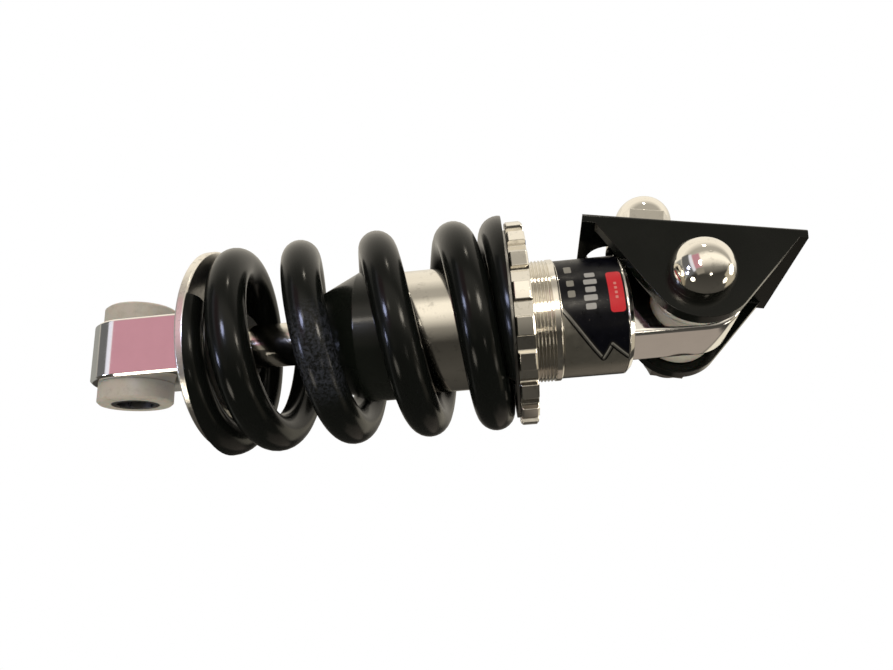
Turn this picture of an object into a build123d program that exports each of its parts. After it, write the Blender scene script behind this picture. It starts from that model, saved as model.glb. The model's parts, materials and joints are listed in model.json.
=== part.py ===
from build123d import *
import os
from math import cos, pi, radians, sin, sqrt

# Coil-over rear shock absorber with a U-shaped frame bracket, in millimetres.
# Origin: centre of the shaft eye. +X runs along the shock to the bracket end,
# Y is the axis of the bracket's pivot bolt, and +Z is the side of the bracket's web.
# Every moving part is shown at rest: shock fully extended, preload ring in mid-thread.

# ---- driving dimensions -------------------------------------------------
EYE_TO_EYE = 125.0            # shaft eye centre to body eye centre
EYE_R = 9.6                   # shaft eye's rounded end, and half its height
BODY_EYE_R = 8.6              # the same of the body eye
BODY_EYE_NOSE = 1.8           # its rounded end is centred this far beyond its bore
EYE_HALF_WIDTH = 6.6          # eye block, along its own bore
EYE_BORE_R = 6.5              # bore that takes the nylon bushes
SHAFT_EYE_ROLL = -78.0        # shaft eye's bore, turned about X from the pivot bolt's axis
BUSH_FLANGE_R = 8.0
BUSH_HALF_WIDTH = 11.2        # eye centre to the outer face of a bush
BUSH_GAP = 0.4                # each bush shank stops this far from the eye's middle
BUSH_EDGE = 0.5
BUSH_SLIP = 0.03              # radial clearance of a steel sleeve in its bushes
SLEEVE_R = 5.0
SLEEVE_BORE_R = 4.0           # M8 mounting bolts
SLEEVE_HALF = 11.25
RUNNING = 0.05                # radial clearance of a turning or sliding fit

ROD_R = 5.0
ROD_STUD_R = 4.0              # M8 thread that holds the shaft eye
ROD_STUD_X = 8.0
ROD_TAIL_R = 3.0              # M6 tail that holds the piston
PLATE_X = 20.0                # back face of the shaft eye, and the rod's shoulder
PLATE_THICK = 2.0
PLATE_R = 22.5

PLATE_EDGE = 0.3
PLATE_BOSS_R = 14.0           # low boss that centres the spring
PLATE_BOSS_HEIGHT = 0.6
PLATE_DISH_INNER_R = 12.0     # shallow dish turned into the plate's back
PLATE_DISH_OUTER_R = 18.0
PLATE_DISH_DEPTH = 0.35

SPRING_MEAN_R = 19.45
WIRE_R = 4.1
SPRING_X0 = PLATE_X + PLATE_THICK
SPRING_X1 = 86.2
SPRING_START = 175.0          # angle of the wire's first end, from +Y towards +Z
SPRING_TURNS = 5.18
SPRING_FIRST_X = 19.8         # wire centre at its first end, before the end is ground flat
# Axial rise per turn at every half turn: closed, open in the middle, closed again.
SPRING_PITCHES = (6.7, 7.1, 12.2, 16.5, 17.8, 16.8, 17.3, 17.1, 15.3, 5.3, 10.1)
# Where the coil's centre sits off the shock's axis, in Y and Z, at each end.
SPRING_OFF_PLATE = (0.3, -0.6)
SPRING_OFF_RING = (-0.7, 0.2)
# The open coils lean: their +Y and +Z sides stand this far along X at mid-length.
SPRING_TILT = (-1.2, -1.1)

HEAD_X = 44.5                 # tip of the seal head's cone
HEAD_TIP_R = 10.4
HEAD_CONE_LENGTH = 9.5
HEAD_R = 14.7                 # its skirt covers the end of the tube
HEAD_SKIRT_X1 = 60.5
TUBE_X0 = 54.5
TUBE_X1 = 110.1
TUBE_R = 13.9
TUBE_BORE_R = 10.5
THREAD_X0 = 84.0              # M27 x 0.75 thread for the preload ring
THREAD_X1 = 95.4
COLLAR_X1 = 96.7              # plain collar between the thread and the label
THREAD_R = 13.5
THREAD_PITCH = 0.75
THREAD_DEPTH = 0.4
LABEL_SEAT_R = 12.9
LABEL_THICK = 0.15
HEAD_SPIGOT_X1 = 64.0

RING_WASHER_THICK = 0.6
RING_WASHER_R = 20.8
RING_R = 22.5
RING_X1 = 90.6
RING_NOTCHES = 20
RING_NOTCH_DEPTH = 1.4

SHEET = 2.6                   # bracket sheet thickness
BRACKET_TILT = 12.7           # web's shaft end is raised by this angle at rest
WEB_OUTER = 13.3              # pivot axis to the web's outer face
WEB_LEFT = -24.4
WEB_RIGHT = 20.8
EAR_LEFT = -23.5              # where the ear's front edge meets the web's outer face
EAR_END_R = 10.2
EAR_GAP_HALF = 11.25
BEND_OUTER_R = 1.0
BEND_INNER_R = 0.5
STUD_PLACE = -10.0            # web stud, from the pivot axis along the web
SLOT_R = 6.0
SLOT_LEFT = -16.5             # centre of the slot's shaft-end round
SLOT_RIGHT = -8.5
M8_R = 4.0
M8_HOLE_R = 4.15
DOME_R = 6.6

os.makedirs("parts", exist_ok=True)


def save(piece, name):
    piece.part.label = name
    export_step(piece.part, f"parts/{name}.step")


# ---- planes --------------------------------------------------------------
roll = radians(SHAFT_EYE_ROLL)
tilt = radians(BRACKET_TILT)
shaft_eye_plane = Plane(origin=(0, 0, 0), x_dir=(1, 0, 0), z_dir=(0, cos(roll), sin(roll)))
body_eye_plane = Plane(origin=(EYE_TO_EYE, 0, 0), x_dir=(-1, 0, 0), z_dir=(0, 1, 0))
# The bracket's own planes: side view along the bolt, web seen from above, and end view.
along_web = (cos(tilt), 0, -sin(tilt))
web_normal = (sin(tilt), 0, cos(tilt))
bracket_side = Plane(origin=(EYE_TO_EYE, 0, 0), x_dir=along_web, z_dir=(0, -1, 0))
bracket_web = Plane(origin=(EYE_TO_EYE, 0, 0), x_dir=along_web, z_dir=web_normal)
bracket_end = Plane(origin=(EYE_TO_EYE, 0, 0), x_dir=(0, 1, 0), z_dir=along_web)


# ---- shapes that repeat --------------------------------------------------
def turned(outline, plane=Plane.YZ):
    """Solid of revolution about a plane's normal, from its (height, radius) corners."""
    with BuildPart() as piece:
        with BuildSketch(Plane(plane.origin, x_dir=plane.z_dir, z_dir=plane.y_dir)):
            with BuildLine():
                Polyline(*outline, close=True)
            make_face()
        revolve(axis=Axis(plane.origin, plane.z_dir))
    return piece


def sleeve(start, end, inner, outer, plane=Plane.YZ):
    """Plain sleeve along a plane's normal."""
    return turned([(start, inner), (end, inner), (end, outer), (start, outer)], plane)


def eye_bush(plane, side):
    """Top-hat nylon bush, pressed into one side of an eye."""
    inner = SLEEVE_R + BUSH_SLIP
    outline = [
        (BUSH_GAP, inner), (BUSH_HALF_WIDTH, inner), (BUSH_HALF_WIDTH, BUSH_FLANGE_R - BUSH_EDGE),
        (BUSH_HALF_WIDTH - BUSH_EDGE, BUSH_FLANGE_R), (EYE_HALF_WIDTH, BUSH_FLANGE_R),
        (EYE_HALF_WIDTH, EYE_BORE_R), (BUSH_GAP, EYE_BORE_R),
    ]
    return turned([(side * height, radius) for height, radius in outline], plane)


def domed_bar(plane, outline, dome_height, dome_r):
    """Turned bar whose outline ends in a half-round dome on the axis."""
    with BuildPart() as piece:
        with BuildSketch(Plane(plane.origin, x_dir=plane.z_dir, z_dir=plane.y_dir)):
            with BuildLine():
                Polyline(*outline, (dome_height, dome_r))
                CenterArc((dome_height, 0), dome_r, 90, -90)
                Line((dome_height + dome_r, 0), outline[0])
            make_face()
        revolve(axis=Axis(plane.origin, plane.z_dir))
    return piece


def eye_block_outline(reach, radius, nose=0.0):
    """Side view of an eye block: a round end and a straight neck of a given reach."""
    with Locations((-nose, 0)):
        Circle(radius)
    with Locations(((reach - nose) / 2, 0)):
        Rectangle(reach + nose, 2 * radius)


# ---- shaft: piston rod, eye and what is fixed to them ---------------------
SHAFT_EYE_BEVEL = 0.5
ROD_END_BEVEL = 0.6
with BuildPart() as shaft_eye:
    with BuildSketch(shaft_eye_plane):
        eye_block_outline(PLATE_X, EYE_R)
    extrude(amount=EYE_HALF_WIDTH, both=True)
    side_edges = shaft_eye.edges().filter_by(lambda edge: edge.length > EYE_R * 1.5)
    chamfer(side_edges, SHAFT_EYE_BEVEL)
    with BuildSketch(shaft_eye_plane.offset(-EYE_HALF_WIDTH)):
        Circle(EYE_BORE_R)
    extrude(amount=2 * EYE_HALF_WIDTH, mode=Mode.SUBTRACT)
    with BuildSketch(Plane.YZ.offset(ROD_STUD_X)):
        Circle(ROD_STUD_R)
    extrude(amount=PLATE_X - ROD_STUD_X, mode=Mode.SUBTRACT)
save(shaft_eye, "shaft_eye")

for end_name, side in (("lower", 1), ("upper", -1)):
    save(eye_bush(shaft_eye_plane, side), f"shaft_eye_bush_{end_name}")
save(sleeve(-SLEEVE_HALF, SLEEVE_HALF, SLEEVE_BORE_R, SLEEVE_R, shaft_eye_plane), "shaft_eye_sleeve")

PISTON_X0 = 68.0
PISTON_X1 = 76.0
NUT_X1 = 79.5
ROD_END_X = 81.0
piston_rod = turned([
    (ROD_STUD_X, 0), (ROD_STUD_X, ROD_STUD_R - ROD_END_BEVEL), (ROD_STUD_X + ROD_END_BEVEL, ROD_STUD_R),
    (PLATE_X, ROD_STUD_R), (PLATE_X, ROD_R), (PISTON_X0, ROD_R), (PISTON_X0, ROD_TAIL_R),
    (ROD_END_X - ROD_END_BEVEL, ROD_TAIL_R), (ROD_END_X, ROD_TAIL_R - ROD_END_BEVEL), (ROD_END_X, 0),
])
save(piston_rod, "piston_rod")

BUMP_X0 = SPRING_X0 + 0.8
BUMP_X1 = 27.0
BUMP_R = 8.2
BUMP_BEVEL = 1.2
save(turned([
    (BUMP_X0, ROD_R), (BUMP_X1, ROD_R), (BUMP_X1, BUMP_R - BUMP_BEVEL),
    (BUMP_X1 - BUMP_BEVEL, BUMP_R), (BUMP_X0, BUMP_R),
]), "bump_stop")

RING_GROOVE_X0 = 70.5
RING_GROOVE_X1 = 73.5
RING_GROOVE_R = 9.2
PISTON_R = TUBE_BORE_R - RUNNING
PISTON_BODY_R = PISTON_R - 0.4
PORT_CIRCLE_R = 7.0
PORT_R = 0.8
PORTS = 6
with BuildPart() as piston:
    with BuildSketch(Plane.XY):
        with BuildLine():
            Polyline(
                (PISTON_X0, ROD_TAIL_R), (PISTON_X1, ROD_TAIL_R), (PISTON_X1, PISTON_BODY_R),
                (RING_GROOVE_X1, PISTON_BODY_R), (RING_GROOVE_X1, RING_GROOVE_R),
                (RING_GROOVE_X0, RING_GROOVE_R), (RING_GROOVE_X0, PISTON_BODY_R),
                (PISTON_X0, PISTON_BODY_R), close=True,
            )
        make_face()
    revolve(axis=Axis.X)
    with BuildSketch(Plane.YZ.offset(PISTON_X0)):
        with PolarLocations(PORT_CIRCLE_R, PORTS):
            Circle(PORT_R)
    extrude(amount=PISTON_X1 - PISTON_X0, mode=Mode.SUBTRACT)
save(piston, "piston")
save(sleeve(RING_GROOVE_X0, RING_GROOVE_X1, RING_GROOVE_R, PISTON_R), "piston_ring")

PISTON_NUT_FLATS = 10.0
with BuildPart() as piston_nut:
    with BuildSketch(Plane.YZ.offset(PISTON_X1)):
        RegularPolygon(PISTON_NUT_FLATS / 2, 6, major_radius=False)
        Circle(ROD_TAIL_R, mode=Mode.SUBTRACT)
    extrude(amount=NUT_X1 - PISTON_X1)
save(piston_nut, "piston_nut")
TOP_OUT_GAP = 0.1
TOP_OUT_R = 8.0
save(sleeve(HEAD_SPIGOT_X1 + TOP_OUT_GAP, PISTON_X0, ROD_R, TOP_OUT_R), "top_out_bumper")

# ---- spring plate and coil spring ----------------------------------------
plate_back = PLATE_X + RUNNING
boss_top = SPRING_X0 + PLATE_BOSS_HEIGHT
dish = plate_back + PLATE_DISH_DEPTH
spring_plate = turned([
    (plate_back, ROD_R + RUNNING), (boss_top, ROD_R + RUNNING), (boss_top, PLATE_BOSS_R),
    (SPRING_X0, PLATE_BOSS_R + PLATE_EDGE), (SPRING_X0, PLATE_R - PLATE_EDGE),
    (SPRING_X0 - PLATE_EDGE, PLATE_R), (plate_back + PLATE_EDGE, PLATE_R), (plate_back, PLATE_R - PLATE_EDGE),
    (plate_back, PLATE_DISH_OUTER_R + PLATE_EDGE), (dish, PLATE_DISH_OUTER_R),
    (dish, PLATE_DISH_INNER_R), (plate_back, PLATE_DISH_INNER_R - PLATE_EDGE),
])
save(spring_plate, "spring_plate")


def spring_pitch(turn):
    """Axial rise per turn, in a straight line between the half-turn values."""
    half_turns = 2 * turn
    before = min(int(half_turns), len(SPRING_PITCHES) - 2)
    part_way = half_turns - before
    return SPRING_PITCHES[before] * (1 - part_way) + SPRING_PITCHES[before + 1] * part_way


def wire_centre(x, angle):
    """Point on the wire's centre line, with the coil's offset and lean."""
    part_way = (x - SPRING_X0) / (SPRING_X1 - SPRING_X0)
    off_y, off_z = [
        plate * (1 - part_way) + ring * part_way for plate, ring in zip(SPRING_OFF_PLATE, SPRING_OFF_RING)
    ]
    openness = sin(pi * max(0, min(1, part_way)))
    if part_way < 0.5:
        openness = sqrt(openness)     # the coils lean sooner at the plate end
    lean = openness * (SPRING_TILT[0] * cos(angle) + SPRING_TILT[1] * sin(angle))
    return (x + lean, SPRING_MEAN_R * cos(angle) + off_y, SPRING_MEAN_R * sin(angle) + off_z)


POINTS_PER_TURN = 12
STEPS_PER_POINT = 20
wire_points = []
wire_x = SPRING_FIRST_X
count = round(SPRING_TURNS * POINTS_PER_TURN)
for index in range(count + 1):
    turn = index * SPRING_TURNS / count
    wire_points.append(wire_centre(wire_x, radians(SPRING_START + 360 * turn)))
    small = SPRING_TURNS / count / STEPS_PER_POINT
    wire_x += sum(spring_pitch(turn + (step + 0.5) * small) * small for step in range(STEPS_PER_POINT))

with BuildPart() as coil_spring:
    with BuildLine() as wire_path:
        Spline(*wire_points)
    with BuildSketch(Plane(wire_path.line @ 0, z_dir=wire_path.line % 0)):
        Circle(WIRE_R)
    sweep(is_frenet=True)
    with BuildSketch(Plane.YZ.offset(SPRING_X0)):
        Circle(SPRING_MEAN_R + 2 * WIRE_R)
    extrude(amount=SPRING_X1 - SPRING_X0, mode=Mode.INTERSECT)
save(coil_spring, "coil_spring")

# ---- damper body ----------------------------------------------------------
WIPER_X1 = 47.0
ROD_BUSHING_X0 = 50.0
ROD_BUSHING_X1 = 57.0
ROD_BUSHING_R = 6.0
SEAL_X0 = 58.5
SEAL_X1 = 62.0
SEAL_R = 8.5
WIPER_R = 6.9
WIPER_LIP = 0.4               # how far the wiper stands out of the head
HEAD_EDGE = 0.3
TUBE_EDGE = 0.3
bore_free = ROD_R + 0.4
seal_head = turned([
    (HEAD_X, WIPER_R), (WIPER_X1, WIPER_R), (WIPER_X1, bore_free), (ROD_BUSHING_X0, bore_free),
    (ROD_BUSHING_X0, ROD_BUSHING_R), (ROD_BUSHING_X1, ROD_BUSHING_R), (ROD_BUSHING_X1, bore_free),
    (SEAL_X0, bore_free), (SEAL_X0, SEAL_R), (HEAD_SPIGOT_X1, SEAL_R),
    (HEAD_SPIGOT_X1, TUBE_BORE_R), (TUBE_X0, TUBE_BORE_R), (TUBE_X0, TUBE_R), (HEAD_SKIRT_X1, TUBE_R),
    (HEAD_SKIRT_X1, HEAD_R), (HEAD_X + HEAD_CONE_LENGTH, HEAD_R),
    (HEAD_X + HEAD_EDGE, HEAD_TIP_R), (HEAD_X, HEAD_TIP_R - HEAD_EDGE),
])
save(seal_head, "seal_head")
rod_slide_r = ROD_R + 0.03
save(turned([
    (HEAD_X - WIPER_LIP, rod_slide_r), (WIPER_X1, rod_slide_r), (WIPER_X1, WIPER_R), (HEAD_X, WIPER_R),
    (HEAD_X - WIPER_LIP / 2, WIPER_R - WIPER_LIP),
]), "wiper_seal")
save(sleeve(ROD_BUSHING_X0, ROD_BUSHING_X1, rod_slide_r, ROD_BUSHING_R), "rod_bushing")
save(sleeve(SEAL_X0, SEAL_X1, rod_slide_r, SEAL_R), "rod_seal")
RETAINER_X1 = HEAD_SPIGOT_X1 - 0.6
save(sleeve(SEAL_X1, RETAINER_X1, bore_free, SEAL_R), "seal_retainer")

# The tube: plain front half, threaded rear half, a collar, and a smaller seat for the label.
GROOVE_FLANK = 0.44           # each flank of a groove, as a part of the pitch
tube_outline = [(TUBE_X0, TUBE_BORE_R), (TUBE_X0, TUBE_R - TUBE_EDGE), (TUBE_X0 + TUBE_EDGE, TUBE_R)]
tube_outline += [(THREAD_X0 - (TUBE_R - THREAD_R), TUBE_R), (THREAD_X0, THREAD_R)]
thread_turns = int((THREAD_X1 - THREAD_X0) / THREAD_PITCH)
for groove in range(thread_turns):
    crest_end = THREAD_X0 + (groove + 1 - 2 * GROOVE_FLANK) * THREAD_PITCH
    tube_outline += [
        (crest_end, THREAD_R), (crest_end + GROOVE_FLANK * THREAD_PITCH, THREAD_R - THREAD_DEPTH),
        (crest_end + 2 * GROOVE_FLANK * THREAD_PITCH, THREAD_R),
    ]
tube_outline += [
    (COLLAR_X1 - TUBE_EDGE, THREAD_R), (COLLAR_X1, THREAD_R - TUBE_EDGE), (COLLAR_X1, LABEL_SEAT_R),
    (TUBE_X1, LABEL_SEAT_R), (TUBE_X1, TUBE_BORE_R),
]
save(turned(tube_outline), "damper_tube")
LABEL_MARGIN = 0.2
label_r = LABEL_SEAT_R + LABEL_THICK
save(sleeve(COLLAR_X1 + LABEL_MARGIN, TUBE_X1 - LABEL_MARGIN, LABEL_SEAT_R, label_r), "label_band")

CAP_X1 = 111.2
CAP_BEVEL = 1.0
CAP_SPIGOT_X0 = 100.0
ORING_X0 = 102.5
ORING_X1 = 105.0
BODY_EYE_ROUNDING = 1.0
ORING_SEAT_R = 8.9
with BuildPart() as body_eye:
    with BuildSketch(Plane.XY):
        with BuildLine():
            Polyline(
                (CAP_SPIGOT_X0, 0), (CAP_SPIGOT_X0, TUBE_BORE_R), (ORING_X0, TUBE_BORE_R),
                (ORING_X0, ORING_SEAT_R), (ORING_X1, ORING_SEAT_R), (ORING_X1, TUBE_BORE_R),
                (TUBE_X1, TUBE_BORE_R), (TUBE_X1, label_r), (CAP_X1 - CAP_BEVEL, label_r),
                (CAP_X1, label_r - CAP_BEVEL), (CAP_X1, 0), close=True,
            )
        make_face()
    revolve(axis=Axis.X)
    with BuildSketch(body_eye_plane):
        eye_block_outline(EYE_TO_EYE - CAP_X1, BODY_EYE_R, BODY_EYE_NOSE)
    extrude(amount=EYE_HALF_WIDTH, both=True)
    nose_edges = body_eye.edges().filter_by(GeomType.CIRCLE).sort_by(Axis.X)[-2:]
    bar_edges = body_eye.edges().filter_by(GeomType.LINE).filter_by(Axis.X).filter_by(
        lambda edge: edge.center().X > CAP_X1
    )
    fillet(nose_edges + bar_edges, BODY_EYE_ROUNDING)
    with BuildSketch(body_eye_plane.offset(-EYE_HALF_WIDTH)):
        Circle(EYE_BORE_R)
    extrude(amount=2 * EYE_HALF_WIDTH, mode=Mode.SUBTRACT)
save(body_eye, "body_eye")
save(sleeve(ORING_X0, ORING_X1, ORING_SEAT_R, TUBE_BORE_R), "body_eye_o_ring")
for end_name, side in (("near", -1), ("far", 1)):
    save(eye_bush(body_eye_plane, side), f"body_eye_bush_{end_name}")

# ---- preload ring and its slip washer --------------------------------------
RING_X0 = SPRING_X1 + RUNNING + RING_WASHER_THICK + RUNNING
RING_WASHER_BORE_R = 14.2
RING_EDGE = 0.4
NOTCH_WIDTH = 4.4
NOTCH_HEIGHT = 3.0
NOTCH_SIDE_ANGLE = 75
NOTCH_FIRST_ANGLE = 4
washer_x0 = SPRING_X1 + RUNNING
save(sleeve(washer_x0, washer_x0 + RING_WASHER_THICK, RING_WASHER_BORE_R, RING_WASHER_R), "spring_slip_washer")
with BuildPart() as preload_ring:
    with BuildSketch(Plane.XY):
        with BuildLine():
            Polyline(
                (RING_X0, THREAD_R + RUNNING), (RING_X1, THREAD_R + RUNNING),
                (RING_X1, RING_R - RING_EDGE), (RING_X1 - RING_EDGE, RING_R),
                (RING_X0 + RING_EDGE, RING_R), (RING_X0, RING_R - RING_EDGE), close=True,
            )
        make_face()
    revolve(axis=Axis.X)
    with BuildSketch(Plane.YZ.offset(RING_X0)):
        with PolarLocations(RING_R - RING_NOTCH_DEPTH, RING_NOTCHES, start_angle=NOTCH_FIRST_ANGLE):
            with Locations((NOTCH_HEIGHT / 2, 0)):
                Trapezoid(NOTCH_WIDTH, NOTCH_HEIGHT, NOTCH_SIDE_ANGLE, rotation=90)
    extrude(amount=RING_X1 - RING_X0, mode=Mode.SUBTRACT)
save(preload_ring, "preload_ring")

# ---- frame bracket and its fasteners ----------------------------------------
WEB_INNER = WEB_OUTER - SHEET
EAR_OUTER = EAR_GAP_HALF + SHEET
web_length = WEB_RIGHT - WEB_LEFT
with BuildPart() as bracket:
    with BuildSketch(bracket_end.offset(WEB_LEFT)):
        with BuildSketch() as channel_outer:
            with Locations((0, (WEB_OUTER - EAR_END_R) / 2)):
                Rectangle(2 * EAR_OUTER, WEB_OUTER + EAR_END_R)
            fillet(channel_outer.vertices().group_by(Axis.Y)[-1], BEND_OUTER_R)
        with BuildSketch(mode=Mode.SUBTRACT) as channel_inner:
            with Locations((0, (WEB_INNER - EAR_END_R) / 2)):
                Rectangle(2 * EAR_GAP_HALF, WEB_INNER + EAR_END_R)
            fillet(channel_inner.vertices().group_by(Axis.Y)[-1], BEND_INNER_R)
    extrude(amount=web_length)
    with BuildSketch(bracket_side):
        with BuildLine():
            Line((EAR_LEFT, WEB_OUTER), (WEB_RIGHT, WEB_OUTER))
            CenterArc((0, 0), EAR_END_R, 0, 360)
        make_hull()
        with Locations(((WEB_LEFT + WEB_RIGHT) / 2, WEB_OUTER - SHEET / 2)):
            Rectangle(web_length, SHEET)
    extrude(amount=EAR_OUTER, both=True, mode=Mode.INTERSECT)
    with BuildSketch(bracket_side):
        Circle(M8_HOLE_R)
    extrude(amount=EAR_OUTER, both=True, mode=Mode.SUBTRACT)
    with BuildSketch(bracket_web.offset(WEB_INNER)):
        with Locations(((SLOT_LEFT + SLOT_RIGHT) / 2, 0)):
            SlotCenterToCenter(SLOT_RIGHT - SLOT_LEFT, 2 * SLOT_R)
    extrude(amount=SHEET, mode=Mode.SUBTRACT)
save(bracket, "bracket")
save(sleeve(-SLEEVE_HALF, SLEEVE_HALF, SLEEVE_BORE_R, SLEEVE_R, bracket_side), "body_eye_sleeve")

# Pivot bolt: its smooth round head is on the near ear, its nut on the far one.
WASHER_THICK = 1.6
WASHER_R = 8.0
WASHER_HOLE_R = 4.2
HEX_FLATS = 13.0
NUT_HEX = 6.3
NUT_COLLAR = 1.7
INSERT_R = 5.0
INSERT_DEPTH = 1.3
BOLT_R = M8_R - 0.03
BOLT_BEVEL = 0.6
BOLT_END_LENGTH = 1.0         # thread that stands out of the nut
COLLAR_STEP = 0.5             # the nut's round collar inside its hexagon
DOME_BASE = 1.0               # straight edge under the round head
nut_face = -EAR_OUTER - WASHER_THICK
nut_end = nut_face - NUT_HEX - NUT_COLLAR
bolt_end = nut_end - BOLT_END_LENGTH
pivot_bolt = domed_bar(
    bracket_side,
    [(bolt_end, 0), (bolt_end, BOLT_R - BOLT_BEVEL), (bolt_end + BOLT_BEVEL, BOLT_R),
     (EAR_OUTER, BOLT_R), (EAR_OUTER, DOME_R)],
    EAR_OUTER + DOME_BASE, DOME_R,
)
save(pivot_bolt, "pivot_bolt")
save(sleeve(nut_face, -EAR_OUTER, WASHER_HOLE_R, WASHER_R, bracket_side), "pivot_washer")
with BuildPart() as pivot_nut:
    with BuildSketch(bracket_side.offset(nut_face - NUT_HEX)):
        RegularPolygon(HEX_FLATS / 2, 6, major_radius=False)
    extrude(amount=NUT_HEX)
    with BuildSketch(bracket_side.offset(nut_end)):
        Circle(HEX_FLATS / 2 - COLLAR_STEP)
    extrude(amount=NUT_COLLAR)
    with BuildSketch(bracket_side.offset(nut_end)):
        Circle(BOLT_R)
    extrude(amount=NUT_HEX + NUT_COLLAR, mode=Mode.SUBTRACT)
    with BuildSketch(bracket_side.offset(nut_end)):
        Circle(INSERT_R)
    extrude(amount=INSERT_DEPTH, mode=Mode.SUBTRACT)
save(pivot_nut, "pivot_nut")
save(sleeve(nut_end, nut_end + INSERT_DEPTH, BOLT_R, INSERT_R, bracket_side), "pivot_nut_insert")

# Web stud: a T-head under the slot, a washer and a domed cap nut on the outside.
T_HEAD_THICK = 1.3
T_HEAD_LENGTH = 17.0          # across the slot
T_HEAD_CORNER_R = 1.0
T_HEAD_WIDTH = 9.4
STUD_LENGTH = 9.5             # above the web's outer face
CAP_HEX = 6.5
CAP_DOME_HEIGHT = 9.3         # dome's centre above the web
CAP_DOME_R = 6.4
CAP_BORE_GAP = 1.0            # free length of thread above the stud
stud_plane = Plane(
    bracket_web.origin + bracket_web.x_dir * STUD_PLACE, x_dir=bracket_web.x_dir, z_dir=bracket_web.z_dir
)
with BuildPart() as frame_stud:
    with BuildSketch(stud_plane.offset(WEB_INNER - T_HEAD_THICK)) as t_head:
        Rectangle(T_HEAD_WIDTH, T_HEAD_LENGTH)
        fillet(t_head.vertices(), T_HEAD_CORNER_R)
    extrude(amount=T_HEAD_THICK)
    with BuildSketch(stud_plane.offset(WEB_INNER)):
        Circle(BOLT_R)
    extrude(amount=SHEET + STUD_LENGTH)
    chamfer(frame_stud.edges().group_by(lambda edge: edge.center().Z)[-1], BOLT_BEVEL)
save(frame_stud, "frame_stud")
cap_face = WEB_OUTER + WASHER_THICK
save(sleeve(WEB_OUTER, cap_face, WASHER_HOLE_R, WASHER_R, stud_plane), "frame_washer")
dome_centre = WEB_OUTER + CAP_DOME_HEIGHT
with BuildPart() as frame_cap_nut:
    with BuildSketch(stud_plane.offset(cap_face)):
        RegularPolygon(HEX_FLATS / 2, 6, major_radius=False)
    extrude(amount=CAP_HEX)
    with BuildSketch(Plane(stud_plane.origin, x_dir=stud_plane.z_dir, z_dir=stud_plane.y_dir)):
        with BuildLine():
            Polyline((dome_centre, CAP_DOME_R), (cap_face + CAP_HEX, CAP_DOME_R), (cap_face + CAP_HEX, 0))
            Line((cap_face + CAP_HEX, 0), (dome_centre + CAP_DOME_R, 0))
            CenterArc((dome_centre, 0), CAP_DOME_R, 0, 90)
        make_face()
    revolve(axis=Axis(stud_plane.origin, stud_plane.z_dir))
    with BuildSketch(stud_plane.offset(cap_face)):
        Circle(BOLT_R)
    extrude(amount=STUD_LENGTH - WASHER_THICK + CAP_BORE_GAP, mode=Mode.SUBTRACT)
save(frame_cap_nut, "frame_cap_nut")
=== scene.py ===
"""Coil-over rear shock absorber: looks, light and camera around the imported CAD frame."""
import json
import math

import bpy
from mathutils import Matrix, Vector


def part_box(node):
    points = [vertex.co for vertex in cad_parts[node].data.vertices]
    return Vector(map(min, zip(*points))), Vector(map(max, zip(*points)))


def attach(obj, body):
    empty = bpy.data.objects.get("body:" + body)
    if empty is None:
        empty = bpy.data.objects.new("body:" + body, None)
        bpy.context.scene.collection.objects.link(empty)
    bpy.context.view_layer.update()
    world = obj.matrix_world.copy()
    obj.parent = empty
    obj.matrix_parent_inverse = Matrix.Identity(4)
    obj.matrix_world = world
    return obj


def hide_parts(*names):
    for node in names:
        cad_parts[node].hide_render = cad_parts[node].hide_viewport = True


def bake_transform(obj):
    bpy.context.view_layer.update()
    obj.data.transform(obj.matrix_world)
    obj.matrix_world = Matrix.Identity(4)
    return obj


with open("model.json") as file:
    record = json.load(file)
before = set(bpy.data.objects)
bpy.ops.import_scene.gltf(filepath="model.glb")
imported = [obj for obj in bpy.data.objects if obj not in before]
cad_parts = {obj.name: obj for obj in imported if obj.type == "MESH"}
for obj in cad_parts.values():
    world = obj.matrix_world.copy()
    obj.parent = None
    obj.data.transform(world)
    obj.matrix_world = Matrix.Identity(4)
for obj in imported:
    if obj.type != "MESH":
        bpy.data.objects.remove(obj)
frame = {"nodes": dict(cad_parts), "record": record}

nodes = frame["nodes"]
scene = bpy.context.scene
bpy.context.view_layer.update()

MM = 0.001
TAU = 2 * math.pi

# ---- camera, floor and light ------------------------------------------------
CAMERA_PLACE = (82.46 * MM, -123.97 * MM, -70.31 * MM)
CAMERA_AZIMUTH = math.radians(4.769)      # looks along +Y, turned this much towards -X
CAMERA_ELEVATION = math.radians(29.022)   # looks up from below
CAMERA_ROLL = math.radians(-2.808)
LENS_MM = 25.56
SENSOR_MM = 36.0
FLOOR_Z = -0.14
FLOOR_HALF = 5.0


def look_direction(azimuth, elevation):
    """Unit vector for an azimuth from +Y towards -X and an elevation above the horizon."""
    flat = math.cos(elevation)
    return Vector((-math.sin(azimuth) * flat, math.cos(azimuth) * flat, math.sin(elevation)))


def make_camera():
    forward = look_direction(CAMERA_AZIMUTH, CAMERA_ELEVATION)
    level_right = forward.cross(Vector((0, 0, 1))).normalized()
    level_up = level_right.cross(forward)
    right = math.cos(CAMERA_ROLL) * level_right + math.sin(CAMERA_ROLL) * level_up
    up = right.cross(forward)
    data = bpy.data.cameras.new("camera")
    data.lens = LENS_MM
    data.sensor_width = SENSOR_MM
    data.clip_start = 0.005
    camera = bpy.data.objects.new("camera", data)
    turn = Matrix((right, up, -forward)).transposed().to_4x4()
    camera.matrix_world = Matrix.Translation(CAMERA_PLACE) @ turn
    scene.collection.objects.link(camera)
    scene.camera = camera


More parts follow.
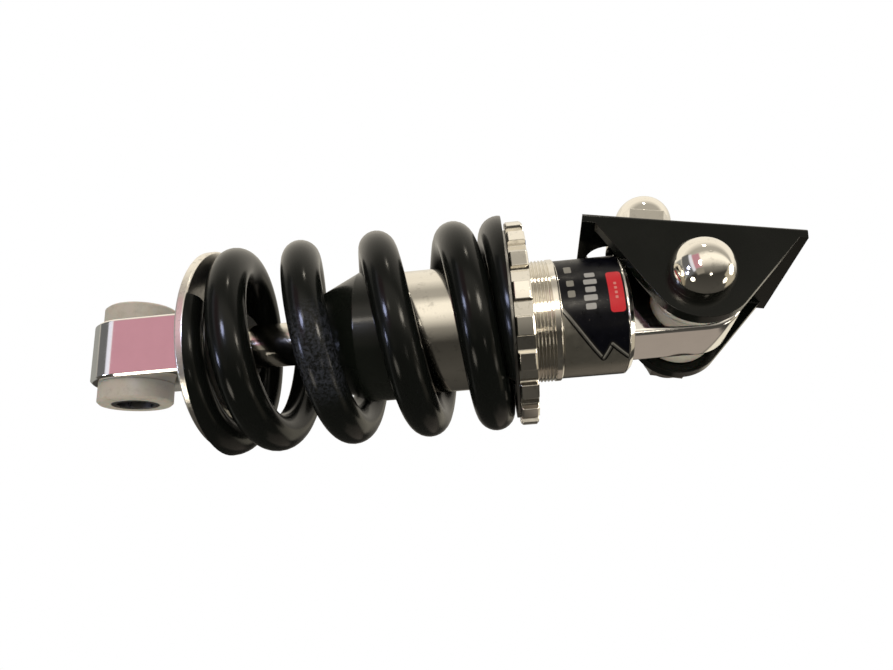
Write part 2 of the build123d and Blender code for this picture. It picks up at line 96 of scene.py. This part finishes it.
# ---- node helpers ---------------------------------------------------------------
class Nodes:
    """Short calls for the nodes of one tree. A socket or a plain number may stand for any value."""

    def __init__(self, tree):
        self.tree = tree

    def add(self, kind):
        return self.tree.nodes.new(kind)

    def feed(self, socket, value):
        if isinstance(value, bpy.types.NodeSocket):
            self.tree.links.new(value, socket)
        elif isinstance(value, tuple) and len(value) == 3 and len(socket.default_value) == 4:
            socket.default_value = (*value, 1)
        else:
            socket.default_value = value

    def math(self, operation, *values, clamp=False):
        node = self.add("ShaderNodeMath")
        node.operation = operation
        node.use_clamp = clamp
        for socket, value in zip(node.inputs, values):
            self.feed(socket, value)
        return node.outputs[0]

    def vector(self, operation, *values, output="Vector"):
        node = self.add("ShaderNodeVectorMath")
        node.operation = operation
        for socket, value in zip(node.inputs, values):
            self.feed(socket, value)
        return node.outputs[output]

    def remap(self, value, low, high, new_low=0.0, new_high=1.0, smooth=False):
        node = self.add("ShaderNodeMapRange")
        if smooth:
            node.interpolation_type = "SMOOTHSTEP"
        for key, number in zip(("Value", "From Min", "From Max", "To Min", "To Max"),
                               (value, low, high, new_low, new_high)):
            self.feed(node.inputs[key], number)
        return node.outputs["Result"]

    def blend(self, amount, low_colour, high_colour):
        node = self.add("ShaderNodeMix")
        node.data_type = "RGBA"
        self.feed(node.inputs["Factor"], amount)
        self.feed(node.inputs[6], low_colour)
        self.feed(node.inputs[7], high_colour)
        return node.outputs[2]

    def parts(self, vector):
        node = self.add("ShaderNodeSeparateXYZ")
        self.feed(node.inputs[0], vector)
        return node.outputs

    def ramp(self, value, stops):
        """Grey ramp through (place, level) pairs, each place from 0 to 1."""
        node = self.add("ShaderNodeValToRGB")
        elements = node.color_ramp.elements
        while len(elements) < len(stops):
            elements.new(0.5)
        for element, (place, level) in zip(elements, stops):
            element.position = place
            element.color = (level, level, level, 1)
        self.feed(node.inputs["Fac"], value)
        return node.outputs["Color"]


# ---- surroundings and light -------------------------------------------------------
# Brightness of the studio by angle about X: 0 degrees is in front (-Y), 90 is overhead.
# A soft box stands in front, another hangs overhead, and it is dark below and behind.
STUDIO_BANDS = (
    (-180, 0.05), (-110, 0.08), (-50, 0.05), (-25, 0.3), (-10, 0.9), (5, 1.3), (20, 1.3),
    (35, 0.5), (50, 0.5), (75, 1.1), (110, 1.1), (140, 0.75), (180, 0.05),
)
BRIGHTEST = 1.3
WARM_WHITE = (1.0, 0.93, 0.8)
# Cards beside the object: azimuth from -Y towards +X, elevation, their half sizes, and colour.
CARDS = (
    (-30, 5, 12, 25, (0.6, 0.3, 0.35)),
    (-48, 5, 6, 30, (0.9, 0.9, 1.0)),
    (-65, 5, 13, 35, (0.15, 0.15, 0.15)),
    (-105, 5, 25, 30, (0.35, 0.35, 0.32)),
    (-30, -33, 15, 9, (0.32, 0.29, 0.24)),
    (97, -15, 24, 17, (0.5, 0.44, 0.33)),
    (160, -25, 16, 18, (0.35, 0.3, 0.25)),
    (150, 10, 11, 14, (0.85, 0.78, 0.62)),
)
CARD_EDGE = 2.5               # degrees over which a card fades


def make_world():
    """White behind the object. What the metal mirrors is a studio of soft bands and cards."""
    world = bpy.data.worlds.new("studio")
    world.use_nodes = True
    scene.world = world
    world.node_tree.nodes.clear()
    kit = Nodes(world.node_tree)
    direction = kit.parts(kit.add("ShaderNodeTexCoord").outputs["Generated"])
    forward = kit.math("MULTIPLY", direction["Y"], -1.0)
    around = kit.math("ARCTAN2", direction["Z"], forward)
    stops = [((angle + 180) / 360, level / BRIGHTEST) for angle, level in STUDIO_BANDS]
    level = kit.ramp(kit.remap(around, -math.pi, math.pi), stops)
    colour = kit.vector("MULTIPLY", level, scaled(WARM_WHITE, BRIGHTEST))
    azimuth = kit.math("DEGREES", kit.math("ARCTAN2", direction["X"], forward))
    elevation = kit.math("DEGREES", kit.math("ARCSINE", direction["Z"]))
    for card_azimuth, card_elevation, half_width, half_height, card_colour in CARDS:
        inside = 1.0
        spans = ((azimuth, card_azimuth, half_width), (elevation, card_elevation, half_height))
        for angle, middle, half in spans:
            off = kit.math("ABSOLUTE", kit.math("SUBTRACT", angle, float(middle)))
            edge = kit.remap(off, half + CARD_EDGE, half - CARD_EDGE, smooth=True)
            inside = kit.math("MULTIPLY", inside, edge)
        colour = kit.blend(inside, colour, card_colour)
    room = kit.add("ShaderNodeBackground")
    kit.feed(room.inputs["Color"], colour)
    seen = kit.add("ShaderNodeBackground")
    kit.feed(seen.inputs["Color"], (1.0, 1.0, 1.0))
    mix = kit.add("ShaderNodeMixShader")
    kit.feed(mix.inputs[0], kit.add("ShaderNodeLightPath").outputs["Is Camera Ray"])
    kit.feed(mix.inputs[1], room.outputs[0])
    kit.feed(mix.inputs[2], seen.outputs[0])
    kit.feed(kit.add("ShaderNodeOutputWorld").inputs["Surface"], mix.outputs[0])


def make_floor():
    mesh = bpy.data.meshes.new("floor")
    signs = ((-1, -1), (1, -1), (1, 1), (-1, 1))
    corners = [(sign_x * FLOOR_HALF, sign_y * FLOOR_HALF, FLOOR_Z) for sign_x, sign_y in signs]
    mesh.from_pydata(corners, [], [(0, 1, 2, 3)])
    floor = bpy.data.objects.new("floor", mesh)
    scene.collection.objects.link(floor)
    finish = Finish("floor_paper", Base_Color=(0.8, 0.8, 0.79, 1), Roughness=0.9, Specular_IOR_Level=0.1)
    mesh.materials.append(finish.material)
    floor.visible_glossy = False


def lamp(name, place, aim, size, radiance, colour):
    """Small round lamp at a place, turned towards a point. It shows in reflections only."""
    data = bpy.data.lights.new(name, "AREA")
    data.shape = "DISK"
    data.size = size
    data.energy = radiance * math.pi * math.pi * size * size / 4
    data.color = colour
    light = bpy.data.objects.new(name, data)
    light.location = place
    light.rotation_euler = (Vector(place) - Vector(aim)).to_track_quat("Z", "Y").to_euler()
    light.visible_camera = False
    light.visible_diffuse = False
    scene.collection.objects.link(light)


def lamp_about(name, centre, azimuth, elevation, distance, size, radiance, colour):
    """Lamp seen from a centre at an azimuth from -Y towards +X."""
    turn, rise = math.radians(azimuth), math.radians(elevation)
    away = Vector((math.sin(turn) * math.cos(rise), -math.cos(turn) * math.cos(rise), math.sin(rise)))
    lamp(name, centre + away * distance, centre, size, radiance, colour)


BOLT_HEAD = Vector((125, -15, 0)) * MM
COIL_FRONT = Vector((60, -20, -6)) * MM
WARM = (1.0, 0.92, 0.78)
COOL = (0.62, 0.68, 1.0)


def make_lights():
    lamp("lamp_cool", (0.027, -0.072, -0.011), COIL_FRONT, 0.015, 40, COOL)
    lamp("lamp_cream", (0.106, -0.062, -0.006), COIL_FRONT, 0.015, 20, WARM)
    lamp_about("lamp_top", BOLT_HEAD, 13, 56, 0.6, 0.06, 30, WARM)
    lamp_about("lamp_middle", BOLT_HEAD, -18, 0, 0.6, 0.06, 12, WARM)
    lamp_about("lamp_left", BOLT_HEAD, -73, -17, 0.3, 0.03, 40, COOL)
    lamp_about("lamp_low", BOLT_HEAD, 13, -48, 0.15, 0.018, 6, WARM)
    lamp_about("lamp_right", BOLT_HEAD, 92, -37, 0.2, 0.05, 3, WARM)
    lamp_about("streak_right", COIL_FRONT, 90, -4, 0.3, 0.09, 7, WARM)
    lamp_about("streak_left", COIL_FRONT, -70, -51, 0.25, 0.07, 6, WARM)


# ---- materials -----------------------------------------------------------------
class Finish(Nodes):
    """A material with one Principled shader."""

    def __init__(self, name, **values):
        self.material = bpy.data.materials.new(name)
        self.material.use_nodes = True
        super().__init__(self.material.node_tree)
        self.shader = self.tree.nodes["Principled BSDF"]
        self.place = self.add("ShaderNodeTexCoord").outputs["Object"]
        for key, value in values.items():
            self.shader.inputs[key.replace("_", " ")].default_value = value

    def noise(self, scale, detail=3.0, roughness=0.55, stretch=(1, 1, 1)):
        mapping = self.add("ShaderNodeMapping")
        mapping.inputs["Scale"].default_value = stretch
        self.feed(mapping.inputs["Vector"], self.place)
        texture = self.add("ShaderNodeTexNoise")
        texture.inputs["Scale"].default_value = scale
        texture.inputs["Detail"].default_value = detail
        texture.inputs["Roughness"].default_value = roughness
        self.feed(texture.inputs["Vector"], mapping.outputs["Vector"])
        return texture.outputs["Fac"]

    def colour(self, value):
        self.feed(self.shader.inputs["Base Color"], value)

    def rough(self, value):
        self.feed(self.shader.inputs["Roughness"], value)

    def round_edges(self, radius):
        """Shades sharp edges as if they were rounded, and gives back a mask of those edges."""
        bevel = self.add("ShaderNodeBevel")
        bevel.samples = 6
        bevel.inputs["Radius"].default_value = radius
        self.feed(self.shader.inputs["Normal"], bevel.outputs["Normal"])
        flat = self.add("ShaderNodeNewGeometry").outputs["Normal"]
        agree = self.vector("DOT_PRODUCT", bevel.outputs["Normal"], flat, output="Value")
        return self.remap(agree, 0.995, 0.9)

    def bump(self, height, depth, strength=1.0):
        """Adds a bump of a given depth in metres on top of any normal that is already there."""
        node = self.add("ShaderNodeBump")
        node.inputs["Distance"].default_value = depth
        node.inputs["Strength"].default_value = strength
        self.feed(node.inputs["Height"], height)
        normal = self.shader.inputs["Normal"]
        if normal.is_linked:
            self.feed(node.inputs["Normal"], normal.links[0].from_socket)
        self.feed(normal, node.outputs["Normal"])


def scaled(colour, factor):
    return tuple(factor * part for part in colour)


def chrome_finish(name, tint, roughness, edge=0.00025):
    """Bright plating: faint haze, fine rub marks and a few dull stains."""
    finish = Finish(name, Metallic=1.0)
    finish.round_edges(edge)
    haze = finish.noise(180, 4)
    rubs = finish.noise(2500, 2, stretch=(1, 0.15, 0.15))
    stains = finish.remap(finish.noise(420, 5, 0.7), 0.56, 0.68)
    finish.colour(finish.blend(stains, tint, scaled(tint, 0.8)))
    base = finish.remap(haze, 0.3, 0.7, roughness * 0.7, roughness * 1.4)
    finish.rough(finish.math("ADD", base, finish.math("MULTIPLY", stains, 0.08)))
    finish.bump(rubs, 0.000004, 0.25)
    return finish.material


PAINTED_SHADE_OUT_R = 21.9 * MM       # no painted shade on the rim outside this radius
PAINTED_SHADE_FULL_R = 20.6 * MM


def worn_plate_painted_shade_finish(name, tint, spring_side):
    """Turned and plated steel with a scuffed, pitted rim, and painted shade on the face where the spring
    sits.
    """
    finish = Finish(name, Metallic=1.0)
    edges = finish.round_edges(0.0003)
    pits = finish.remap(finish.noise(900, 5, 0.75), 0.54, 0.68)
    rust = finish.remap(finish.noise(300, 4, 0.6), 0.6, 0.75)
    worn = finish.math("MAXIMUM", pits, finish.math("MULTIPLY", edges, 0.3))
    metal = finish.blend(worn, tint, scaled(tint, 0.6))
    metal = finish.blend(finish.math("MULTIPLY", rust, 0.4), metal, (0.30, 0.21, 0.14))
    # painted shade: the face towards the spring turns near black and stops being metal, standing for the
    # coil's shade and its dark mirror image
    place = finish.parts(finish.place)
    squares = finish.math("ADD", finish.math("POWER", place["Y"], 2.0), finish.math("POWER", place["Z"], 2.0))
    inward = finish.remap(finish.math("SQRT", squares), PAINTED_SHADE_OUT_R, PAINTED_SHADE_FULL_R)
    facing = finish.remap(place["X"], spring_side - 0.3 * MM, spring_side - 0.1 * MM)
    darkening = finish.math("MULTIPLY", finish.math("MULTIPLY", inward, facing), 0.95)
    finish.colour(finish.blend(darkening, metal, (0.03, 0.028, 0.026)))
    metal_roughness = finish.remap(worn, 0, 1, 0.28, 0.45)
    finish.rough(finish.math("MAXIMUM", metal_roughness, finish.math("MULTIPLY", darkening, 0.6)))
    finish.feed(finish.shader.inputs["Metallic"], finish.math("SUBTRACT", 1.0, darkening))
    finish.shader.inputs["Specular IOR Level"].default_value = 0.2
    finish.bump(finish.noise(1400, 5, 0.7), 0.00003, 0.4)
    return finish.material


def gloss_black(name, tint, edge_grey, edge, gloss=0.2):
    """Thick gloss powder coat: orange peel, dust, light scuffs and paler edges."""
    finish = Finish(name, Specular_IOR_Level=gloss)
    worn_edges = finish.round_edges(edge)
    peel = finish.noise(1100, 2)
    dust = finish.remap(finish.noise(5200, 2), 0.66, 0.74)
    cloud = finish.noise(140, 3)
    scuffed = finish.math("MULTIPLY", dust, finish.remap(cloud, 0.45, 0.7))
    chips = finish.math("MULTIPLY", worn_edges, finish.remap(finish.noise(700, 4), 0.35, 0.6))
    marks = finish.math("MAXIMUM", finish.math("MULTIPLY", scuffed, 0.5), chips)
    finish.colour(finish.blend(marks, tint, edge_grey))
    finish.rough(finish.remap(cloud, 0.3, 0.7, 0.14, 0.24))
    finish.bump(peel, 0.00002, 0.25)
    return finish


def bracket_finish(name):
    return gloss_black(name, (0.003, 0.0042, 0.0032), (0.014, 0.014, 0.012), 0.0003).material


def head_finish(name):
    """Satin black cap with a faint green cast."""
    return gloss_black(name, (0.011, 0.0138, 0.0115), (0.03, 0.03, 0.03), 0.0003, gloss=0.3).material


def spring_finish(name):
    """Gloss black wire with one rubbed, greyish stretch low on the second open coil."""
    finish = gloss_black(name, (0.006, 0.0072, 0.0066), (0.03, 0.03, 0.03), 0.0002, gloss=0.17)
    middle = tuple(MM * part for part in (49.0, -19.5, -13.5))
    away = finish.vector("DISTANCE", finish.place, middle, output="Value")
    near = finish.remap(away, 13 * MM, 5 * MM, smooth=True)
    grain = finish.remap(finish.noise(1500, 5, 0.75), 0.42, 0.6)
    rubbed = finish.math("MULTIPLY", near, grain)
    clean = finish.shader.inputs["Base Color"].links[0].from_socket
    finish.colour(finish.blend(rubbed, clean, (0.04, 0.045, 0.06)))
    return finish.material


CROWN = 11.0                  # buffed faces fall away by this many metres per square metre from Y = 0


def aluminium_finish(name):
    """Mirror-polished aluminium, buffed slightly round, with fine polishing lines along the shock."""
    finish = Finish(name, Metallic=1.0)
    finish.round_edges(0.0003)
    lines = finish.noise(1800, 3, stretch=(0.06, 1, 1))
    haze = finish.noise(240, 4)
    finish.colour(finish.blend(haze, (0.83, 0.81, 0.79), (0.92, 0.90, 0.88)))
    finish.rough(finish.remap(lines, 0.3, 0.7, 0.05, 0.12))
    across = finish.parts(finish.place)["Y"]
    crown = finish.math("MULTIPLY", finish.math("MULTIPLY", across, across), -CROWN)
    finish.bump(crown, 1.0)
    finish.bump(lines, 0.000003, 0.25)
    return finish.material


def zinc_finish(name, tint=(0.34, 0.335, 0.32)):
    """Dull plated or machined steel with turning marks."""
    finish = Finish(name, Metallic=1.0)
    finish.round_edges(0.0002)
    spots = finish.noise(900, 4)
    finish.colour(finish.blend(spots, scaled(tint, 0.8), tint))
    finish.rough(finish.remap(spots, 0.3, 0.7, 0.24, 0.42))
    finish.bump(finish.noise(3000, 2), 0.000008, 0.4)
    return finish.material


def nylon_finish(name, tint):
    """Natural nylon: milky, a little light passes under its surface, dirt darkens its pores."""
    finish = Finish(name, Subsurface_Weight=0.3, Subsurface_Scale=0.0012, Specular_IOR_Level=0.35)
    finish.round_edges(0.0004)
    cloud = finish.noise(260, 4)
    darkening = finish.remap(finish.noise(700, 5, 0.7), 0.5, 0.75)
    clean = finish.blend(cloud, tint, scaled(tint, 0.9))
    finish.colour(finish.blend(finish.math("MULTIPLY", darkening, 0.35), clean, (0.30, 0.27, 0.22)))
    finish.rough(finish.remap(cloud, 0.3, 0.7, 0.38, 0.55))
    finish.bump(finish.noise(3400, 2), 0.00001, 0.3)
    return finish.material


def rubber_finish(name, tint):
    finish = Finish(name, Specular_IOR_Level=0.35)
    grain = finish.noise(2600, 4)
    finish.colour(finish.blend(grain, tint, scaled(tint, 1.5)))
    finish.rough(finish.remap(grain, 0.3, 0.7, 0.55, 0.8))
    finish.bump(grain, 0.00002, 0.5)
    return finish.material


class Print(Finish):
    """Flat artwork wrapped round the tube, drawn in millimetres along it and degrees round it."""

    def __init__(self, name, radius_mm, **values):
        super().__init__(name, **values)
        place = self.parts(self.place)
        self.along = self.math("DIVIDE", place["X"], MM)
        turn = self.math("DEGREES", self.math("ARCTAN2", place["Z"], place["Y"]))
        self.turn = self.math("FLOORED_MODULO", turn, 360.0)
        self.arc = math.radians(radius_mm)

    def offset(self, along, turn):
        """Distances in millimetres from a place, along the tube and round it."""
        across = self.math("SUBTRACT", self.along, along)
        around = self.math("MULTIPLY", self.math("SUBTRACT", self.turn, turn), self.arc)
        return across, around

    def box(self, along, turn, half_along, half_turn, corner):
        """Mask of a rounded box. Half sizes and corner are in millimetres."""
        across, around = self.offset(along, turn)
        outside = []
        for distance, half in ((across, half_along), (around, half_turn)):
            beyond = self.math("SUBTRACT", self.math("ABSOLUTE", distance), half - corner)
            outside.append(self.math("POWER", self.math("MAXIMUM", beyond, 0.0), 2.0))
        gap = self.math("SQRT", self.math("ADD", *outside))
        return self.remap(gap, corner + PRINT_EDGE, corner - PRINT_EDGE)

    def stroke(self, start, end, half_width):
        """Mask of a straight stroke between two (along, turn) places."""
        run = (end[0] - start[0], (end[1] - start[1]) * self.arc)
        length_squared = run[0] ** 2 + run[1] ** 2
        across, around = self.offset(*start)
        dot = self.math("ADD", self.math("MULTIPLY", across, run[0]), self.math("MULTIPLY", around, run[1]))
        part = self.math("DIVIDE", dot, length_squared, clamp=True)
        off_x = self.math("SUBTRACT", across, self.math("MULTIPLY", part, run[0]))
        off_y = self.math("SUBTRACT", around, self.math("MULTIPLY", part, run[1]))
        squares = self.math("ADD", self.math("POWER", off_x, 2.0), self.math("POWER", off_y, 2.0))
        return self.remap(self.math("SQRT", squares), half_width + PRINT_EDGE, half_width - PRINT_EDGE)

    def below(self, start, end):
        """Mask of the side with the larger turn of a line through two places."""
        slope = (end[1] - start[1]) / (end[0] - start[0])
        rise = self.math("MULTIPLY", self.math("SUBTRACT", self.along, start[0]), slope)
        line = self.math("ADD", rise, start[1])
        return self.remap(self.math("SUBTRACT", self.turn, line), -PRINT_BLUR, PRINT_BLUR)


PRINT_EDGE = 0.05             # millimetres of softness at an edge of the print
PRINT_BLUR = 0.3              # degrees of softness along a long edge
SEAM = 0.02                   # millimetres over which two stretches of the field meet
LABEL_R_MM = 13.05
# Corners of the label's zigzag: (millimetres along X, degrees about X from +Y towards +Z).
ZIGZAG = ((96.9, 200), (104.8, 252), (106.5, 236), (110.0, 252))
PRINT_START = 112             # the artwork begins at this angle and is printed twice round the tube
PRINT_TURN = 180
FIELD_END = 282               # the silver field ends at this angle
BORDER_HALF = 0.62            # half widths of the zigzag's dark border and of the pale line on it
LINE_HALF = 0.3


def label_finish(name):
    """Dark gloss film with a silver lower field, a zigzag border, a pill and plain blocks."""
    art = Print(name, LABEL_R_MM, Specular_IOR_Level=0.12)
    from_start = art.math("SUBTRACT", art.turn, PRINT_START)
    art.turn = art.math("ADD", art.math("FLOORED_MODULO", from_start, PRINT_TURN), PRINT_START)
    cloud = art.noise(600, 4)
    ink = art.blend(cloud, (0.002, 0.0023, 0.003), (0.003, 0.0035, 0.010))
    silver = art.blend(cloud, (0.24, 0.235, 0.21), (0.33, 0.32, 0.29))
    field = 0.0
    for start, end in zip(ZIGZAG[:-1], ZIGZAG[1:]):
        side = art.below(start, end)
        past_start = art.remap(art.along, start[0] - SEAM, start[0] + SEAM)
        before_end = art.remap(art.along, end[0] + SEAM, end[0] - SEAM)
        in_span = art.math("MULTIPLY", past_start, before_end)
        field = art.math("MAXIMUM", field, art.math("MULTIPLY", side, in_span))
    lower = art.remap(art.turn, FIELD_END + 1, FIELD_END)
    field = art.math("MULTIPLY", field, lower)
    colour = art.blend(field, ink, silver)
    for start, end in zip(ZIGZAG[:-1], ZIGZAG[1:]):
        colour = art.blend(art.stroke(start, end, BORDER_HALF), colour, (0.012, 0.012, 0.012))
        colour = art.blend(art.stroke(start, end, LINE_HALF), colour, (0.20, 0.20, 0.19))
    for turn, half_turn in ((158, 1.1), (176, 0.75), (187, 0.75)):
        colour = art.blend(art.box(99.1, turn, 0.75, half_turn, 0.3), colour, (0.30, 0.30, 0.28))
    for index, turn in enumerate((168, 176, 184, 192, 200)):
        half_along = 1.35 if index % 2 else 1.05
        block = art.box(103.3 - 0.15 * index, turn, half_along, 0.62, 0.3)
        colour = art.blend(block, colour, (0.44, 0.45, 0.46))
    pill = art.box(108.0, 187, 1.5, 4.6, 0.7)
    colour = art.blend(pill, colour, (0.72, 0.035, 0.05))
    for turn in (180, 184.5, 189, 193.5):
        colour = art.blend(art.box(108.0, turn, 0.28, 0.28, 0.14), colour, (0.80, 0.30, 0.28))
    rubbed = art.remap(art.noise(1300, 5, 0.75), 0.62, 0.72)
    colour = art.blend(art.math("MULTIPLY", rubbed, 0.35), colour, (0.16, 0.15, 0.14))
    art.colour(colour)
    metal = art.math("MULTIPLY", field, 0.85)
    art.feed(art.shader.inputs["Metallic"], metal)
    art.rough(art.remap(cloud, 0.3, 0.7, 0.26, 0.4))
    art.bump(art.noise(900, 3), 0.00001, 0.3)
    return art.material


STEEL_TINT = (0.74, 0.71, 0.65)
CHROME_TINT = (0.80, 0.77, 0.71)


def make_finishes():
    """One material for each slot of the record."""
    return {
        "bracket_black": bracket_finish("bracket_black"),
        "spring_black": spring_finish("spring_black"),
        "chrome": chrome_finish("chrome", CHROME_TINT, 0.07),
        "worn_chrome": worn_plate_painted_shade_finish("worn_chrome", CHROME_TINT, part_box("spring_plate")[1][0]),
        "head_black": head_finish("head_black"),
        "polished_steel": chrome_finish("polished_steel", STEEL_TINT, 0.1),
        "polished_aluminium": aluminium_finish("polished_aluminium"),
        "zinc_steel": zinc_finish("zinc_steel"),
        "piston_aluminium": zinc_finish("piston_aluminium", (0.7, 0.7, 0.71)),
        "bronze": zinc_finish("bronze", (0.6, 0.42, 0.22)),
        "nylon": nylon_finish("nylon", (0.62, 0.60, 0.55)),
        "blue_nylon": nylon_finish("blue_nylon", (0.08, 0.16, 0.5)),
        "ptfe": rubber_finish("ptfe", (0.2, 0.17, 0.15)),
        "black_rubber": rubber_finish("black_rubber", (0.02, 0.02, 0.02)),
        "seal_rubber": rubber_finish("seal_rubber", (0.03, 0.028, 0.025)),
        "bumper_urethane": rubber_finish("bumper_urethane", (0.03, 0.03, 0.03)),
        "label_film": label_finish("label_film"),
    }


# ---- pieces ------------------------------------------------------------------------
def add_piece(name, points, faces, finish, sharp_degrees=35):
    """Smooth mesh object whose edges sharper than a given angle stay sharp."""
    mesh = bpy.data.meshes.new(name)
    mesh.from_pydata(points, [], faces)
    mesh.validate()
    mesh.shade_smooth()
    mesh.set_sharp_from_angle(angle=math.radians(sharp_degrees))
    mesh.materials.append(finish)
    piece = bpy.data.objects.new(name, mesh)
    scene.collection.objects.link(piece)
    return piece


def tube_faces(sections, sides, closed_ends=True):
    """Quads between rings of points, and one face over each end."""
    faces = []
    for section in range(sections - 1):
        for side in range(sides):
            following = (side + 1) % sides
            base = section * sides
            faces.append((base + side, base + sides + side, base + sides + following, base + following))
    if closed_ends:
        faces.append(tuple(range(sides)))
        faces.append(tuple(reversed(range((sections - 1) * sides, sections * sides))))
    return faces


# The spring's wire in millimetres, turns and degrees, by the same formula as its CAD solid.
SPRING_X0, SPRING_X1 = 22.0, 86.2
SPRING_MEAN_R = 19.45
WIRE_R = 4.08                 # 0.02 under the CAD wire, to stay inside its box
SPRING_START = 175.0
SPRING_TURNS = 5.18
SPRING_FIRST_X = 19.8
SPRING_PITCHES = (6.7, 7.1, 12.2, 16.5, 17.8, 16.8, 17.3, 17.1, 15.3, 5.3, 10.1)
SPRING_OFF_PLATE = (0.3, -0.6)
SPRING_OFF_RING = (-0.7, 0.2)
SPRING_TILT = (-1.2, -1.1)
SECTIONS_PER_TURN = 72
WIRE_SIDES = 28
STEPS = 8                     # integration steps between two sections
CLOSED_PITCH = 2 * WIRE_R
LEAST_CHORD = 0.1             # half width of a ground flat where the wire runs out


def spring_pitch(turn):
    before = min(int(2 * turn), len(SPRING_PITCHES) - 2)
    part_way = 2 * turn - before
    return SPRING_PITCHES[before] * (1 - part_way) + SPRING_PITCHES[before + 1] * part_way


def spring_sections():
    """For each section of the wire: its x, its angle, and how far the coils have opened so far."""
    count = round(SPRING_TURNS * SECTIONS_PER_TURN)
    small = SPRING_TURNS / count / STEPS
    x, opened = SPRING_FIRST_X, 0.0
    sections = []
    for index in range(count + 1):
        turn = index * SPRING_TURNS / count
        sections.append((x, math.radians(SPRING_START) + TAU * turn, opened))
        for step in range(STEPS):
            pitch = spring_pitch(turn + (step + 0.5) * small)
            if x < SPRING_X1 - WIRE_R:     # from there on the wire rests on the ring end
                opened += max(pitch - CLOSED_PITCH, 0.0) * small
            x += pitch * small
    return sections


def wire_centre(x, angle):
    part_way = (x - SPRING_X0) / (SPRING_X1 - SPRING_X0)
    off_y, off_z = [
        plate * (1 - part_way) + ring * part_way for plate, ring in zip(SPRING_OFF_PLATE, SPRING_OFF_RING)
    ]
    openness = math.sin(math.pi * max(0, min(1, part_way)))
    if part_way < 0.5:
        openness = math.sqrt(openness)     # the coils lean sooner at the plate end
    lean = openness * (SPRING_TILT[0] * math.cos(angle) + SPRING_TILT[1] * math.sin(angle))
    y, z = SPRING_MEAN_R * math.cos(angle) + off_y, SPRING_MEAN_R * math.sin(angle) + off_z
    return Vector((x + lean, y, z))


def wire_ring(centre, tangent, angle):
    """Round section of the wire, ground flat where it passes either end plane."""
    outward = Vector((0, math.cos(angle), math.sin(angle)))
    outward = (outward - outward.dot(tangent) * tangent).normalized()
    sideways = tangent.cross(outward)
    ring = []
    for side in range(WIRE_SIDES):
        around = TAU * side / WIRE_SIDES
        out, along = WIRE_R * math.cos(around), WIRE_R * math.sin(around)
        point = centre + out * outward + along * sideways
        for plane, beyond in ((SPRING_X0, point.x < SPRING_X0), (SPRING_X1, point.x > SPRING_X1)):
            if beyond:
                chord = math.sqrt(max(WIRE_R ** 2 - (plane - centre.x) ** 2, LEAST_CHORD ** 2))
                point = centre + max(-chord, min(chord, out)) * outward + along * sideways
                point.x = plane
        ring.append(point * MM)
    return ring


def make_spring(finish):
    """The coil spring, built as one wire mesh in place of the CAD coil."""
    sections = spring_sections()
    centres = [wire_centre(x, angle) for x, angle, opened in sections]
    points = []
    for index, (x, angle, opened) in enumerate(sections):
        before, after = centres[max(index - 1, 0)], centres[min(index + 1, len(centres) - 1)]
        points += wire_ring(centres[index], (after - before).normalized(), angle)
    spring = add_piece("wound_spring", points, tube_faces(len(sections), WIRE_SIDES), finish, 45)
    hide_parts("coil_spring")
    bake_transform(spring)


LABEL_SIDES = 192
LABEL_LIP = 0.15              # millimetres that the film stands off its seat
LABEL_ROUND = 0.05            # millimetres of bevel at its two edges


def make_label(finish):
    """Printed film wrapped round the tube, with a small round-over at both edges."""
    low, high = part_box("label_band")
    x0, x1 = low[0] / MM, high[0] / MM
    outer = high[2] / MM
    profile = (
        (x0, outer - LABEL_LIP), (x0, outer - LABEL_ROUND), (x0 + LABEL_ROUND, outer),
        (x1 - LABEL_ROUND, outer), (x1, outer - LABEL_ROUND), (x1, outer - LABEL_LIP),
    )
    points = []
    for x, radius in profile:
        for side in range(LABEL_SIDES):
            angle = TAU * side / LABEL_SIDES
            points.append(Vector((x, radius * math.cos(angle), radius * math.sin(angle))) * MM)
    faces = tube_faces(len(profile), LABEL_SIDES, closed_ends=False)
    last = (len(profile) - 1) * LABEL_SIDES
    for side in range(LABEL_SIDES):
        following = (side + 1) % LABEL_SIDES
        faces.append((last + side, side, following, last + following))
    label = add_piece("label_wrap", points, faces, finish)
    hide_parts("label_band")
    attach(label, "damper_body")


def dress_frame(finishes):
    """Gives every CAD node the finish of its slot."""
    for subpart in frame["record"]["subparts"]:
        mesh = nodes[subpart["node"]].data
        mesh.materials.clear()
        mesh.materials.append(finishes[subpart["material_slot"]])


finishes = make_finishes()
dress_frame(finishes)
make_spring(finishes["spring_black"])
make_label(finishes["label_film"])
make_camera()
make_world()
make_floor()
make_lights()
scene.view_settings.view_transform = "Standard"
